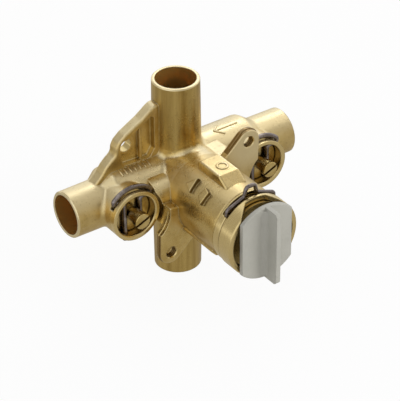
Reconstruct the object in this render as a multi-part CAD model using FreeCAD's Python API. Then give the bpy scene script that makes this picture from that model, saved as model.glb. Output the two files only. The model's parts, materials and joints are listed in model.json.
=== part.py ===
import FreeCAD, Part
import math
import os

# Concealed bath and shower valve body: one brass casting, a balancing cartridge, two check stops.
# Millimetres. X runs through the two inlets (hot at -X), Z through the two outlets (shower at +Z).
# The barrel and both stops open towards -Y. The origin is where the inlet and outlet axes cross.

V = FreeCAD.Vector
AXES = {"x": V(1, 0, 0), "y": V(0, 1, 0), "z": V(0, 0, 1)}
HOT, COLD = -1, 1

# How far a cutting tool runs past what it cuts, and how near an edge lies to count as being there
over = 1.0
near = 0.1

# Solder cups for half inch copper tube
cup_r = 7.965
cup_depth = 12.7
cup_wall = 1.305
cup_step = 1.865
tube_draft = 0.48
rim_chamfer = 0.4
inlet_reach = 50.7
outlet_reach = 42.1
tube_end_r = cup_r + cup_wall
tube_root_r = tube_end_r + tube_draft
way_r = cup_r - cup_step

# Barrel
bore_r = 12.2
barrel_wall = 2.6
barrel_back = 15.0
back_wall = 4.4
back_edge = 1.0
mouth_y = -55.5
mouth_depth = 11.9
mouth_step = 1.4
collar_len = 7.3
collar_rise = 0.8
band_len = 3.9
band_rise = 0.45
line_depth = 0.35
line_width = 0.5
barrel_r = bore_r + barrel_wall
bore_floor = barrel_back - back_wall
mouth_r = bore_r + mouth_step
mouth_floor = mouth_y + mouth_depth
collar_r = barrel_r + collar_rise
band_r = barrel_r + band_rise
band_end = mouth_y + collar_len
band_start = band_end + band_len

# Notches at the mouth, top and bottom
notch_rim_half = 10.4
notch_end_half = 4.6
notch_depth = 5.2

# Hubs and check stop bosses
hub_r = 12.6
hub_past_stop = 1.97
hub_taper_len = 4.5
stop_x = 29.73
stop_bore_r = 8.53
stop_chamber_r = 7.8
boss_wall = 1.73
boss_y = -16.4
hub_end_x = stop_x + hub_past_stop
hub_taper_x = hub_end_x + hub_taper_len
boss_r = stop_bore_r + boss_wall

# Turned recess around each stop boss
relief_gap = 1.14
relief_back = -8.0
boss_skin = 0.01

# Bridges between the barrel and the bosses, in front of the hubs
bridge_r = 9.0
bridge_y = -8.2
bridge_from = 9.0
bridge_to = 20.0

# Soft blends of the casting
hub_blend = 3.0
tube_blend = 2.4
taper_blend = 2.0
boss_blend = 1.8
boss_root_y = -3.0

# Ears for the trim screws, as (x, z) points beside the screw hole
ear_hole_xz = 18.05
ear_hole_r = 2.2
ear_rim = 2.7
ear_front = -22.2
ear_thick = 3.3
ear_edge_deg = 43.0
ear_edge_len = 13.0
ear_side = [(6.0, 0.0), (19.0, -2.0), (22.6, 6.0)]
ear_root = [(7.0, 11.5), (7.0, -1.0), (19.5, -1.5), (20.8, 5.5), (15.0, 12.0)]
ear_root_back = -6.0
ear_root_blend = 1.8
ear_corner = 1.5
ear_edge = 0.6
ear_back = ear_front + ear_thick
ear_lobe_r = ear_hole_r + ear_rim

# Webs with screw holes at the back, as (x, z) points of the upper left one
web_hole_x = 24.1
web_hole_z = 21.4
web_hole_r = 2.8
web_hole_rim = 1.3
web_front = -2.0
web_thick = 5.0
web_panel_depth = 2.6
web_collar_depth = 1.2
web_edge = [
    (-8.0, 36.3), (-12.8, 33.4), (-17.1, 30.3), (-21.0, 28.2), (-24.6, 26.2), (-27.4, 23.9),
    (-28.6, 21.6), (-28.8, 19.0), (-31.2, 17.2), (-33.4, 15.2), (-35.2, 12.6), (-38.6, 9.2),
    (-38.0, 2.0), (-2.0, 2.0),
]
web_panel = [
    (-11.4, 31.2), (-16.5, 28.2), (-23.6, 24.2), (-26.4, 21.4), (-26.9, 17.6), (-25.6, 13.2),
    (-13.6, 12.6), (-11.4, 16.0),
]
web_rib_x = -17.1
web_rib_half = 0.5
web_rib_low = 8.0
web_rib_high = 27.4
web_rib_depth = 1.0
web_corner = 3.0
web_round = 0.9
web_panel_corner = 1.2
web_panel_round = 0.5
web_back = web_front + web_thick

# Pad along the top of the barrel, with a ring mark
pad_half = 4.7
pad_rise = 2.9
pad_back = -21.0
pad_front = -34.0
pad_foot = -38.6
pad_foot_sink = 0.2
pad_edge = 0.8
ring_mark_x = 0.6
ring_mark_y = -29.0
ring_mark_r = 2.4
ring_mark_width = 0.8
ring_mark_rise = 0.3

# Raised triangle and diamond on the upper left of the barrel, as (across, y) points
mark_turn_deg = -46.0
mark_rise = 1.5
mark_edge = 0.4
triangle = [(0.1, -22.3), (4.3, -26.3), (-1.9, -26.6)]
diamond = [(-0.9, -31.2), (3.3, -32.3), (2.5, -34.9), (-3.0, -34.6)]

# Low rib along the lower left of the barrel
rib_turn_deg = 138.0
rib_rise = 1.1
rib_half = 2.0
rib_back = -20.0
rib_front = -41.0
rib_edge = 0.8

# Cartridge shell
shell_play = 0.08
shell_wall = 3.12
shell_end_gap = 0.4
head_play = 0.25
head_seat_gap = 0.3
head_inset = 3.9
head_wall = 3.0
neck_depth = 3.65
neck_play = 0.37
step_inset = 1.6
front_ring_inset = 3.6
rear_ring_y = -11.0
shell_ring_wire_r = 0.9
ring_side_play = 0.2
ring_gap = 0.03
outlet_window_r = 5.2
shell_r = bore_r - shell_play
shell_bore_r = shell_r - shell_wall
shell_back = bore_floor - shell_end_gap
head_r = mouth_r - head_play
head_front = mouth_y + head_inset
head_inner = head_front + head_wall
neck_r = head_r - neck_depth
step_y = mouth_floor + step_inset
front_ring_y = mouth_floor + front_ring_inset

# Ways from the check stops into the cartridge, with a seal at each window
cross_way_y = 6.0
cross_way_r = 3.1
pocket_past_way = 0.2
window_step = 0.2
port_seal_wall = 1.2
port_seal_depth = 1.82
seal_play = 0.05
inlet_window_r = cross_way_r - window_step
port_seal_r = inlet_window_r + port_seal_wall
port_seal_floor = shell_r - port_seal_depth
rear_pocket_y = cross_way_y + cross_way_r + pocket_past_way

# Clip that holds the cartridge
clip_inset = 8.2
clip_wire_r = 0.78
clip_hole_gap = 0.15
clip_play = 0.22
clip_leg_len = 20.7
clip_shoulder_rise = 2.2
clip_slot_sink = 2.3
clip_slot_play = 1.02
clip_foot_room = 0.4
hump_foot_x = 2.9
hump_foot_rise = 3.1
hump_top_x = 1.9
hump_rise = 3.8
shoulder_bend = 1.3
hump_foot_bend = 1.0
hump_bend = 1.45
clip_y = mouth_y + clip_inset
clip_leg_x = neck_r + clip_wire_r + clip_play
clip_slot_floor = bore_r - clip_slot_sink
clip_slot_half = clip_wire_r + clip_slot_play
clip_shoulder_z = clip_slot_floor + clip_shoulder_rise
clip_foot_z = clip_shoulder_z - clip_leg_len
neck_half = clip_wire_r + neck_play

# Grey cap over the stem
cap_r = 15.7
cap_flat_x = 11.25
cap_gap = 0.7
cap_plate = 1.7
cap_edge = 0.5
cap_skin = 0.9
cap_hub_r = 6.9
cap_hub_gap = 0.8
cap_fit_gap = 0.05
fin_half = 0.98
fin_inset = 0.1
fin_len = 6.9
fin_corner = 1.6
fin_flare = 2.2
fin_flare_inset = 0.8
cap_back = mouth_y - cap_gap
cap_front = cap_back - cap_plate
cap_hub_back = head_front - cap_hub_gap
fin_front = cap_front - fin_len
fin_top = cap_r - fin_inset
socket_end = cap_front + cap_skin

# Stem and control sleeve
stem_r = 4.3
stem_play = 0.06
stem_flat = 3.3
stem_end_gap = 0.2
flat_past_hub = 0.4
stem_ring_wire_r = 0.7
stem_ring_side_play = 0.15
collar_stem_r = 6.2
collar_play = 0.3
sleeve_play = 0.05
sleeve_step_gap = 0.6
sleeve_end_gap = 0.3
waist_depth = 1.4
waist_inset = 4.0
sleeve_window_shift = 1.5
sleeve_window_step = 0.4
plug_len = 1.7
plug_play = 0.05
plug_boss_r = 3.6
stem_front = socket_end + stem_end_gap
stem_ring_y = (head_front + head_inner) / 2
sleeve_r = shell_bore_r - sleeve_play
plug_front = shell_back - plug_len
sleeve_back = plug_front - sleeve_end_gap
sleeve_front = step_y + sleeve_step_gap

# Pressure balance: a spool that slides in a cage
cage_r = 6.55
cage_play = 0.05
cage_len = 16.6
cage_end_gap = 0.6
cage_seat_gap = 0.2
cage_wall = 1.4
cage_hole_r = 1.2
cage_port_r = 1.1
spool_r = 4.6
spool_play = 0.05
spool_wall = 2.0
spool_len = 11.0
spool_travel = 1.2
spool_end_gap = 0.2
spool_groove_len = 2.2
spool_groove_depth = 0.8
spool_groove_inset = 1.6
spool_groove_pitch = 5.6
spool_port_r = 0.7
cage_back = sleeve_back - cage_end_gap
cage_front = cage_back - cage_len
spool_front = cage_front + cage_wall + spool_travel + spool_end_gap
spool_back = spool_front + spool_len

# Check stop bonnet, clip and spindle
bonnet_inset = 4.2
bonnet_len = 8.5
bonnet_head_len = 3.6
bonnet_step_gap = 0.1
bonnet_wall = 2.8
bonnet_gap = 0.05
bonnet_edge = 0.4
hex_flat_half = 4.7
hex_play = 0.12
stop_ring_wire_r = 0.7
stop_ring_side_play = 0.12
stop_ring_inset = 2.2
stem_seal_wire_r = 0.55
stem_seal_side_play = 0.08
stem_seal_inset = 1.3
stop_wire_r = 0.95
stop_wire_gap = 0.15
stop_arc_gap = 0.14
stop_leg_gap = 0.35
stop_arc_half_deg = 43.0
stop_tail = 2.8
stop_tail_bend = 1.15
stop_leg_bend = 1.3
stop_leg_top_z = 6.0
stop_foot_proud = 0.54
stop_foot_room = 1.2
stop_slot_half = 9.4
stop_slot_floor = 4.6
shank_r = 2.75
shank_play = 0.06
spindle_neck_r = 2.2
spindle_neck_play = 0.35
spindle_head_r = 3.2
spindle_head_len = 2.5
spindle_head_edge = 0.3
spindle_proud = 4.3
driver_slot_w = 1.1
driver_slot_depth = 1.2
driver_slot_deg = 23.0
flange_inset = 0.5
flange_gap = 0.2
flange_len = 1.3
thread_r = 2.0
thread_play = 0.05
bonnet_front = boss_y + bonnet_inset
bonnet_back = bonnet_front + bonnet_len
stop_step_y = bonnet_front + bonnet_head_len
stop_clip_y = bonnet_front - stop_wire_r - stop_wire_gap
stop_leg_x = spindle_neck_r + stop_wire_r + stop_leg_gap
stop_arc_r = boss_r + stop_wire_r + stop_arc_gap
stop_foot_z = -boss_r - stop_foot_proud
stop_ring_y = bonnet_front + stop_ring_inset
stem_seal_y = bonnet_front + stem_seal_inset
spindle_front = boss_y - spindle_proud
flange_front = bonnet_front + bonnet_wall + flange_gap
flange_back = flange_front + flange_len

# Check stop piston with its washer, drawn open
piston_gap = 0.5
piston_disc_gap = 0.2
piston_disc_len = 1.6
piston_disc_rim = 0.5
thread_short = 1.1
piston_hole_past = 0.5
washer_boss_r = 1.3
washer_boss_short = 0.2
washer_play = 0.05
washer_len = 1.28
washer_lap = 1.2
seat_hole_r = 4.2
seat_gap = 0.12
stop_travel = 2.5
piston_front = flange_back + piston_gap
piston_disc_front = bonnet_back + piston_disc_gap
piston_disc_back = piston_disc_front + piston_disc_len
thread_end = piston_disc_back - thread_short
piston_hole_end = thread_end + piston_hole_past
washer_r = seat_hole_r + washer_lap
washer_back = piston_disc_back + washer_len
seat_y = washer_back + stop_travel + seat_gap


def rod(axis, r, a, b, at=(0.0, 0.0, 0.0)):
    """A cylinder along one axis, from a to b, through the point at."""
    low, high = min(a, b), max(a, b)
    base = V(*at)
    base = base + AXES[axis] * (low - base.dot(AXES[axis]))
    return Part.makeCylinder(r, high - low, base, AXES[axis])


def tube(axis, r_out, r_in, a, b, at=(0.0, 0.0, 0.0)):
    hole = rod(axis, r_in, min(a, b) - over, max(a, b) + over, at)
    return rod(axis, r_out, a, b, at).cut(hole)


def cone(axis, r_a, r_b, a, b, at=(0.0, 0.0, 0.0)):
    """A cone along one axis through the point at, with radius r_a at a and r_b at b."""
    way = AXES[axis] * (1.0 if b > a else -1.0)
    base = V(*at)
    base = base + AXES[axis] * (a - base.dot(AXES[axis]))
    return Part.makeCone(r_a, r_b, abs(b - a), base, way)


def box(x0, x1, y0, y1, z0, z1):
    return Part.makeBox(x1 - x0, y1 - y0, z1 - z0, V(x0, y0, z0))


def prism(points, axis, a, b):
    """A flat outline pushed from a to b along an axis; points hold the two other coordinates."""
    def place(p):
        if axis == "x":
            return V(a, p[0], p[1])
        if axis == "y":
            return V(p[0], a, p[1])
        return V(p[0], p[1], a)
    corners = [place(p) for p in points]
    face = Part.Face(Part.makePolygon(corners + corners[:1]))
    return face.extrude(AXES[axis] * (b - a))


def turned(profile):
    """A solid turned about the barrel axis from a list of (radius, y)."""
    corners = [V(r, y, 0) for r, y in profile]
    face = Part.Face(Part.makePolygon(corners + corners[:1]))
    return face.revolve(V(0, 0, 0), AXES["y"], 360)


def turned_about_barrel(shape, degrees):
    copy = shape.copy()
    copy.rotate(V(0, 0, 0), AXES["y"], degrees)
    return copy


def hex_bar(flat_half, y0, y1, x):
    """A hexagon bar along Y, with its flats flat_half from the axis."""
    corner = flat_half / math.cos(math.radians(30))
    turns = [math.radians(60 * k) for k in range(6)]
    return prism([(x + corner * math.cos(t), corner * math.sin(t)) for t in turns], "y", y0, y1)


def ring(r, wire_r, x, y):
    """A rubber ring about an axis along Y."""
    return Part.makeTorus(r, wire_r, V(x, y, 0), AXES["y"])


def fuse(shapes):
    whole = shapes[0]
    for shape in shapes[1:]:
        whole = whole.fuse(shape)
    return whole.removeSplitter()


def cut(shape, tools):
    for tool in tools:
        shape = shape.cut(tool)
    return shape


def blended(shape, radius, wanted):
    """Round the edges that wanted picks."""
    return shape.makeFillet(radius, [e for e in shape.Edges if wanted(e)])


def lies_at_y(y):
    """A test for the edges in one plane across the barrel."""
    return lambda edge: abs(edge.BoundBox.Center.y - y) < near


def runs_along_y(edge):
    return edge.BoundBox.XLength < near and edge.BoundBox.ZLength < near


def is_in_front(y):
    """A test for the edges of an outline in the plane y."""
    return lambda edge: edge.BoundBox.YLength < near and abs(edge.BoundBox.Center.y - y) < near


def is_above(z):
    """A test for the edges that lie higher than z."""
    return lambda edge: edge.BoundBox.ZMin > z - near


def is_free_curve(edge):
    return type(edge.Curve).__name__ not in ("Circle", "Line")


def bent_wire(corners, wire_r, y):
    """A round wire in the plane y; corners are (x, z, bend radius), the two ends with radius 0."""
    points = [V(x, y, z) for x, z, _ in corners]
    start = points[0]
    pieces = []
    for i in range(1, len(points) - 1):
        back_way = (points[i - 1] - points[i]).normalize()
        on_way = (points[i + 1] - points[i]).normalize()
        half = math.acos(back_way.dot(on_way)) / 2
        bend = corners[i][2]
        reach = bend / math.tan(half)
        enter = points[i] + back_way * reach
        leave = points[i] + on_way * reach
        crown = points[i] + (back_way + on_way).normalize() * (bend / math.sin(half) - bend)
        if (enter - start).Length > 1e-6:
            pieces.append(Part.makeLine(start, enter))
        pieces.append(Part.Arc(enter, crown, leave).toShape())
        start = leave
    pieces.append(Part.makeLine(start, points[-1]))
    section = Part.Wire(Part.makeCircle(wire_r, points[0], (points[1] - points[0]).normalize()))
    return Part.Wire(pieces).makePipeShell([section], True, False)


# The casting

def barrel_blank():
    profile = [
        (0, barrel_back),
        (barrel_r - back_edge, barrel_back),
        (barrel_r, barrel_back - back_edge),
        (barrel_r, band_start + line_width),
        (barrel_r - line_depth, band_start),
        (band_r, band_start - line_width),
        (band_r, band_end + line_width),
        (band_r - line_depth, band_end),
        (collar_r, band_end - line_width),
        (collar_r, mouth_y + rim_chamfer),
        (collar_r - rim_chamfer, mouth_y),
        (0, mouth_y),
    ]
    return turned(profile)


def tube_blank(axis, reach, side):
    """An outer tube with a little draft and a chamfered rim."""
    neck = side * (reach - rim_chamfer)
    draft = cone(axis, tube_root_r, tube_end_r, 0.0, neck)
    rim = cone(axis, tube_end_r, tube_end_r - rim_chamfer, neck, side * reach)
    return draft.fuse(rim)


def inlet_tube_r(x):
    """Outer radius of an inlet tube at the distance x from the centre."""
    return tube_root_r + (tube_end_r - tube_root_r) * x / (inlet_reach - rim_chamfer)


def blended_core():
    """Barrel, hubs, tubes and stop bosses, run into each other with soft blends."""
    hubs = []
    for side in (HOT, COLD):
        hubs.append(rod("x", hub_r, 0.0, side * hub_end_x))
        hubs.append(cone("x", hub_r, inlet_tube_r(hub_taper_x), side * hub_end_x, side * hub_taper_x))
    core = fuse([barrel_blank()] + hubs)
    core = blended(core, hub_blend, is_free_curve)
    core = fuse([core] + [tube_blank("z", outlet_reach, side) for side in (1, -1)])
    core = blended(core, tube_blend, is_tube_root)
    core = fuse([core] + [tube_blank("x", inlet_reach, side) for side in (1, -1)])
    core = blended(core, taper_blend, is_taper_edge)
    bosses = [rod("y", boss_r, 0.0, boss_y, (side * stop_x, 0, 0)) for side in (HOT, COLD)]
    core = fuse([core] + bosses)
    return blended(core, boss_blend, is_boss_root)


def is_tube_root(edge):
    bounds = edge.BoundBox
    reach = tube_root_r + tube_blend
    inside = bounds.XMax < reach and bounds.XMin > -reach
    inside = inside and bounds.YMax < reach and bounds.YMin > -reach
    height = abs(bounds.Center.z)
    return inside and hub_r / 2 < height < barrel_r + hub_blend and edge.Length > 3 * near


def is_taper_edge(edge):
    across = abs(edge.BoundBox.Center.x)
    at_end = abs(across - hub_end_x) < near or abs(across - hub_taper_x) < near
    return at_end and edge.BoundBox.XLength < near


def is_boss_root(edge):
    off_axis = abs(abs(edge.BoundBox.Center.x) - stop_x)
    in_front = edge.BoundBox.YMax < boss_root_y
    return is_free_curve(edge) and in_front and off_axis < boss_r + over and edge.Length > 2 * near


def ear():
    """Upper right ear; the lower left one is the same, turned half a turn."""
    lobe = rod("y", ear_lobe_r, ear_front, ear_back, (ear_hole_xz, 0, ear_hole_xz))
    lean = math.radians(ear_edge_deg)
    top = (ear_hole_xz - ear_lobe_r * math.sin(lean), ear_hole_xz + ear_lobe_r * math.cos(lean))
    foot = (top[0] - ear_edge_len * math.cos(lean), top[1] - ear_edge_len * math.sin(lean))
    side = (ear_hole_xz + ear_lobe_r, ear_hole_xz)
    plate = prism([top, foot] + ear_side + [side], "y", ear_front, ear_back)
    plate = fuse([lobe, plate])
    plate = blended(plate, ear_corner, is_ear_corner)
    plate = blended(plate, ear_edge, is_in_front(ear_front))
    root = prism(ear_root, "y", ear_back, ear_root_back)
    root = blended(root, ear_root_blend, is_outer_root_edge)
    return fuse([plate, root])


def is_ear_corner(edge):
    """The bends of the ear's outline that stand clear of the barrel."""
    return runs_along_y(edge) and edge.BoundBox.Center.x > bore_r and edge.BoundBox.Center.z < bore_r


def is_outer_root_edge(edge):
    runs_along = edge.BoundBox.YLength > ear_thick
    return runs_along and edge.BoundBox.Center.x > bore_r


def bridge(side):
    """Rounded bridge between the barrel and a stop boss, in front of the hub."""
    return rod("x", bridge_r, side * bridge_from, side * bridge_to, (0, bridge_y, 0))


def web():
    """Upper left web between the shower outlet and the hot inlet."""
    plate = prism(web_edge, "y", web_front, web_back)
    plate = blended(plate, web_corner, is_web_bend)
    plate = blended(plate, web_round, is_in_front(web_front))
    plate = blended(plate, web_round, is_in_front(web_back))
    recess = prism(web_panel, "y", web_front - over, web_front + web_panel_depth)
    recess = blended(recess, web_panel_corner, runs_along_y)
    recess = blended(recess, web_panel_round, is_in_front(web_front + web_panel_depth))
    rib_left, rib_right = web_rib_x - web_rib_half, web_rib_x + web_rib_half
    rib = box(rib_left, rib_right, web_front + web_rib_depth, web_back, web_rib_low, web_rib_high)
    hole_at = (-web_hole_x, 0, web_hole_z)
    collar = rod("y", web_hole_r + web_hole_rim, web_front + web_collar_depth, web_back, hole_at)
    return fuse([plate.cut(recess), rib, collar.common(plate)])


def is_web_bend(edge):
    """The bends of the web's free edge."""
    bounds = edge.BoundBox
    return runs_along_y(edge) and bounds.Center.x > -hub_taper_x and bounds.Center.z > hub_r


def pad():
    """Raised pad along the top of the barrel, with a sloping front end and a ring mark."""
    top = barrel_r + pad_rise
    side = [(pad_back, bore_r), (pad_back, top), (pad_front, top)]
    side += [(pad_foot, barrel_r - pad_foot_sink), (pad_foot, bore_r)]
    block = prism(side, "x", -pad_half, pad_half)
    block = blended(block, pad_edge, is_above(barrel_r - pad_foot_sink))
    inner = ring_mark_r - ring_mark_width
    mark = tube("z", ring_mark_r, inner, barrel_r, top + ring_mark_rise, (ring_mark_x, ring_mark_y, 0))
    return fuse([block, mark])


def flow_marks():
    """A raised triangle and a raised diamond on the upper left of the barrel."""
    top = barrel_r + mark_rise
    marks = [prism(outline, "z", bore_r, top) for outline in (triangle, diamond)]
    marks = [blended(mark, mark_edge, is_above(top)) for mark in marks]
    return [turned_about_barrel(mark, mark_turn_deg) for mark in marks]


def barrel_rib():
    """Low rib along the lower left of the barrel, from the ear forwards."""
    rib = box(bore_r, barrel_r + rib_rise, rib_front, rib_back, -rib_half, rib_half)
    rib = blended(rib, rib_edge, lambda edge: edge.BoundBox.XMin > barrel_r + rib_rise - near)
    return turned_about_barrel(rib, rib_turn_deg)


def reliefs():
    """Turned recess around each stop boss, through what stands beside it."""
    front = ear_front - over
    tools = []
    for side in (HOT, COLD):
        at = (side * stop_x, 0, 0)
        recess = tube("y", boss_r + relief_gap, boss_r, front, relief_back, at)
        tools.append(recess.cut(rod("x", hub_r + boss_blend, 0.0, side * inlet_reach)))
        tools.append(rod("y", boss_r + boss_skin, front, boss_y, at))
    return tools


def water_ways():
    tools = [rod("z", way_r, -outlet_reach, outlet_reach)]
    for side in (1, -1):
        tools.append(rod("z", cup_r, side * (outlet_reach - cup_depth), side * (outlet_reach + over)))
        tools.append(rod("x", cup_r, side * (inlet_reach - cup_depth), side * (inlet_reach + over)))
        tools.append(rod("x", way_r, side * (stop_x + stop_bore_r / 2), side * inlet_reach))
        tools.append(rod("y", seat_hole_r, seat_y - over, rear_pocket_y, (side * stop_x, 0, 0)))
        tools.append(rod("x", cross_way_r, side * (bore_r - over), side * stop_x, (0, cross_way_y, 0)))
    return tools


def stop_cuts():
    low = stop_clip_y - stop_wire_r - stop_wire_gap
    high = stop_clip_y + stop_wire_r + stop_wire_gap
    foot = stop_foot_z - stop_foot_room
    tools = []
    for side in (HOT, COLD):
        x = side * stop_x
        tools.append(rod("y", stop_bore_r, boss_y - over, stop_step_y, (x, 0, 0)))
        tools.append(rod("y", stop_chamber_r, stop_step_y, seat_y, (x, 0, 0)))
        lead = boss_y + rim_chamfer
        tools.append(cone("y", stop_bore_r + rim_chamfer, stop_bore_r, boss_y, lead, (x, 0, 0)))
        left, right = x - stop_slot_half, x + stop_slot_half
        tools.append(box(left, right, low, high, stop_slot_floor, stop_arc_r + 2 * stop_wire_r))
        for leg in (-stop_leg_x, stop_leg_x):
            tools.append(rod("z", stop_wire_r + stop_wire_gap, foot, 0.0, (x + leg, stop_clip_y, 0)))
    return tools


def barrel_cuts():
    tools = [rod("y", mouth_r, mouth_y - over, mouth_floor), rod("y", bore_r, mouth_y, bore_floor)]
    notch = [(-notch_rim_half, mouth_y - near), (notch_rim_half, mouth_y - near)]
    notch += [(notch_end_half, mouth_y + notch_depth), (-notch_end_half, mouth_y + notch_depth)]
    outside = collar_r + over
    tools.append(prism(notch, "z", bore_r / 2, outside))
    tools.append(prism(notch, "z", -outside, -bore_r / 2))
    low, high = clip_y - clip_slot_half, clip_y + clip_slot_half
    tools.append(box(-outside, outside, low, high, clip_slot_floor, outside))
    for x in (-clip_leg_x, clip_leg_x):
        foot = clip_foot_z - clip_foot_room
        tools.append(rod("z", clip_wire_r + clip_hole_gap, foot, collar_r, (x, clip_y, 0)))
    return tools


def screw_holes():
    tools = []
    for side in (1, -1):
        at = (side * ear_hole_xz, 0, side * ear_hole_xz)
        tools.append(rod("y", ear_hole_r, ear_front - over, ear_back + over, at))
        tools.append(cone("y", ear_hole_r + rim_chamfer, ear_hole_r, ear_front, ear_front + rim_chamfer, at))
        web_at = (-side * web_hole_x, 0, side * web_hole_z)
        tools.append(rod("y", web_hole_r, web_front - over, web_back + over, web_at))
    return tools


def valve_body():
    extras = [bridge(HOT), bridge(COLD)]
    for shape in (ear(), web()):
        extras += [shape, turned_about_barrel(shape, 180)]
    blank = fuse([blended_core()] + extras + [pad(), barrel_rib()] + flow_marks())
    blank = cut(blank, reliefs())
    return cut(blank, barrel_cuts() + water_ways() + stop_cuts() + screw_holes())


# Cartridge

def cartridge_shell():
    hole_r = stem_r + stem_play
    profile = [
        (hole_r, head_front),
        (head_r, head_front),
        (head_r, clip_y - neck_half),
        (neck_r, clip_y - neck_half),
        (neck_r, clip_y + neck_half),
        (head_r, clip_y + neck_half),
        (head_r, mouth_floor - head_seat_gap),
        (shell_r, mouth_floor - head_seat_gap),
        (shell_r, shell_back),
        (shell_bore_r, shell_back),
        (shell_bore_r, step_y),
        (collar_stem_r + collar_play, step_y),
        (collar_stem_r + collar_play, head_inner),
        (hole_r, head_inner),
    ]
    shell = turned(profile)
    outside = shell_r + over
    groove_floor = bore_r - 2 * (shell_ring_wire_r + ring_gap)
    tools = []
    for y in (front_ring_y, rear_ring_y):
        half = shell_ring_wire_r + ring_side_play
        tools.append(tube("y", outside, groove_floor, y - half, y + half))
    half = stem_ring_wire_r + stem_ring_side_play
    ring_room = stem_r + 2 * (stem_ring_wire_r + ring_gap) + seal_play
    tools.append(rod("y", ring_room, stem_ring_y - half, stem_ring_y + half))
    for side in (HOT, COLD):
        at = (0, cross_way_y, 0)
        tools.append(rod("x", inlet_window_r, side * (shell_bore_r - over), side * outside, at))
        tools.append(rod("x", port_seal_r + seal_play, side * port_seal_floor, side * outside, at))
        tools.append(rod("z", outlet_window_r, side * (shell_bore_r - over), side * outside))
    return cut(shell, tools)


def port_seal(side):
    """Rubber ring round an inlet window, with its outer face fitting the barrel bore."""
    inner = side * (port_seal_floor + seal_play)
    seal = tube("x", port_seal_r, inlet_window_r, inner, side * (bore_r + over), (0, cross_way_y, 0))
    reach = port_seal_r + over
    return seal.common(rod("y", bore_r - ring_gap, cross_way_y - reach, cross_way_y + reach))


def cartridge_end_plug():
    """Disc that closes the shell, with a boss that stops the spool."""
    disc = rod("y", shell_bore_r - plug_play, plug_front, shell_back)
    boss = rod("y", plug_boss_r, spool_back + spool_travel + spool_end_gap, plug_front)
    return fuse([disc, boss])


def shell_ring(y):
    return ring(bore_r - ring_gap - shell_ring_wire_r, shell_ring_wire_r, 0, y)


def stem_o_ring():
    return ring(stem_r + ring_gap + stem_ring_wire_r, stem_ring_wire_r, 0, stem_ring_y)


def cartridge_stem():
    """Stem and control sleeve in one, with flats under the cap."""
    collar_front = head_inner + collar_play
    stem = fuse([
        rod("y", stem_r, stem_front, collar_front),
        rod("y", collar_stem_r, collar_front, sleeve_front),
        rod("y", sleeve_r, sleeve_front, sleeve_back),
    ])
    outside = sleeve_r + over
    tools = [rod("y", cage_r + cage_play, cage_front - cage_seat_gap, sleeve_back + over)]
    waist_r = sleeve_r - waist_depth
    tools.append(tube("y", outside, waist_r, sleeve_front + waist_inset, rear_ring_y - waist_inset))
    flat_end = cap_hub_back + flat_past_hub
    window_at = (0, cross_way_y - sleeve_window_shift, 0)
    for side in (HOT, COLD):
        inside = side * (cage_r - over)
        tools.append(rod("x", inlet_window_r - window_step, inside, side * outside, window_at))
        tools.append(rod("z", outlet_window_r - sleeve_window_step, inside, side * outside))
        low, high = sorted((side * stem_flat, side * (stem_r + over)))
        tools.append(box(low, high, stem_front - over, flat_end, -stem_r - over, stem_r + over))
    return cut(stem, tools)


def spool_grooves():
    """Front edges of the two grooves round the spool."""
    first = spool_front + spool_groove_inset
    return [first, first + spool_groove_pitch]


def balance_cage():
    cage = rod("y", cage_r, cage_front, cage_back)
    tools = [rod("y", spool_r + spool_play, cage_front + cage_wall, cage_back + over)]
    tools.append(rod("y", cage_hole_r, cage_front - over, cage_back))
    middle = (spool_front + spool_back) / 2
    ports = [y + spool_groove_len / 2 for y in spool_grooves()] + [middle]
    for y in ports:
        for axis in ("x", "z"):
            tools.append(rod(axis, cage_port_r, -cage_r - over, cage_r + over, (0, y, 0)))
    return cut(cage, tools)


def balance_spool():
    spool = tube("y", spool_r, spool_r - spool_wall, spool_front, spool_back)
    tools = []
    for y in spool_grooves():
        groove_floor = spool_r - spool_groove_depth
        tools.append(tube("y", spool_r + over, groove_floor, y, y + spool_groove_len))
        centre = (0, y + spool_groove_len / 2, 0)
        tools.append(rod("x", spool_port_r, -spool_r - over, spool_r + over, centre))
    return cut(spool, tools)


def cartridge_clip():
    foot_z = clip_shoulder_z + hump_foot_rise
    left = [(-clip_leg_x, clip_foot_z, 0), (-clip_leg_x, clip_shoulder_z, shoulder_bend)]
    left += [(-hump_foot_x, foot_z, hump_foot_bend), (-hump_top_x, foot_z + hump_rise, hump_bend)]
    right = [(-x, z, bend) for x, z, bend in reversed(left)]
    return bent_wire(left + right, clip_wire_r, clip_y)


def test_cap():
    """Grey cap: a flat sided plate with a fin to turn it by, and a socket for the stem."""
    plate = rod("y", cap_r, cap_front, cap_back)
    plate = blended(plate, cap_edge, lies_at_y(cap_front))
    wide = cap_r + over
    plate = plate.common(box(-cap_flat_x, cap_flat_x, cap_front - over, cap_back + over, -wide, wide))
    into = cap_front + cap_plate / 4
    fin = box(-fin_half, fin_half, fin_front, into, -fin_top, fin_top)
    fin = blended(fin, fin_corner, is_fin_corner)
    foot = fin_half + fin_flare
    flare_top = cap_r - cap_edge - fin_flare_inset
    flare = box(-foot, foot, cap_front - fin_flare, into, -flare_top, flare_top)
    for x in (-foot, foot):
        flare = flare.cut(rod("z", fin_flare, -wide, wide, (x, cap_front - fin_flare, 0)))
    body = fuse([plate, fin, flare, rod("y", cap_hub_r, cap_hub_back, cap_back)])
    half = stem_flat + cap_fit_gap
    socket = rod("y", stem_r + cap_fit_gap, socket_end, cap_hub_back + over)
    flats = box(-half, half, socket_end, cap_hub_back + over, -wide, wide)
    return body.cut(socket.common(flats))


def is_fin_corner(edge):
    return edge.BoundBox.XLength > fin_half and edge.BoundBox.Center.y < fin_front + near


# Check stops

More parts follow.
